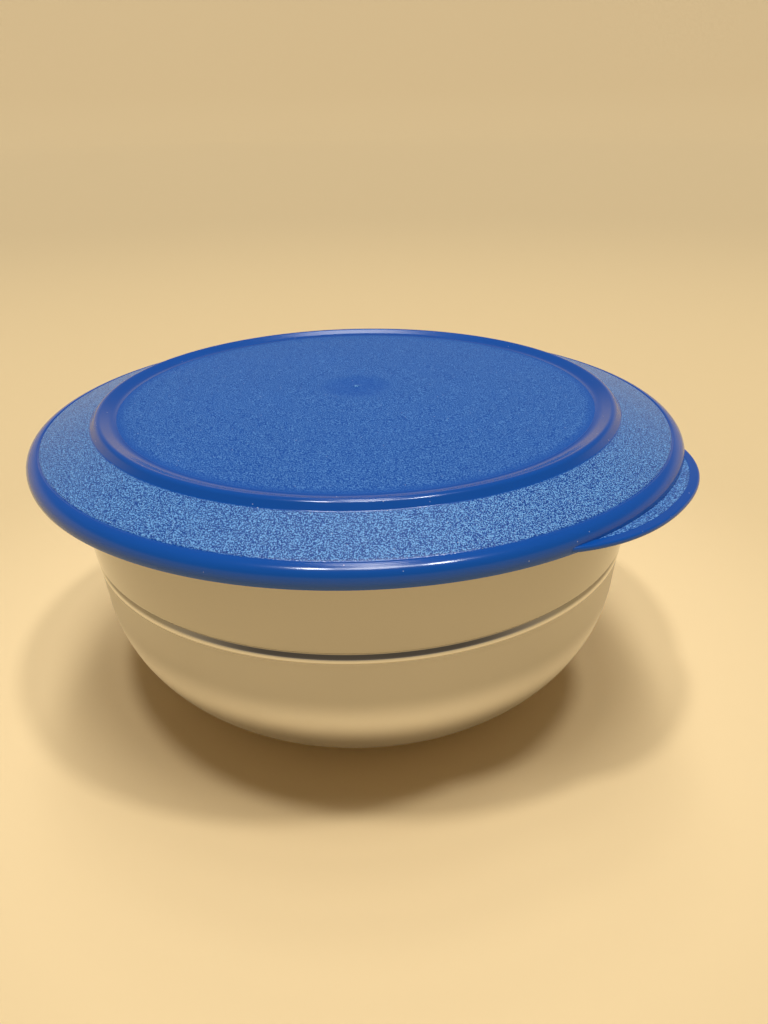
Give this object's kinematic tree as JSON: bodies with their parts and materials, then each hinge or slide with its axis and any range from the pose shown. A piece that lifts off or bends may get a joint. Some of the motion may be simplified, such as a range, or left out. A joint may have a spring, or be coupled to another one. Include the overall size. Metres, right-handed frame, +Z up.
{
  "type": "lidded serving bowl",
  "caption": "Round steel serving bowl with a flat base, a mid-height groove and a rolled rim, closed by a press-fit plastic lid with a ridge round its domed disc and a lift tab.",
  "frame": {"origin": "centre of the flat base, on the table", "axes": "+Z up along the bowl's axis; +X to the right as the bowl is seen from the front, with the lift tab to the right and front, 39 degrees from +X towards -Y"},
  "size_m": [0.2914, 0.2914, 0.1406],
  "materials": {
    "steel": "polished above the groove, satin below it",
    "lid_plastic": "fine moulded grain on the disc, the brim and the tab, smooth on the ridge and the bead"
  },
  "bodies": {
    "bowl": {"bowl": "steel"},
    "lid": {"lid": "lid_plastic"}
  },
  "joints": [
    {"name": "lid_lift", "type": "slide", "parent": "bowl", "child": "lid", "axis": [0, 0, 1], "range_m": [0, 0.15]}
  ]
}
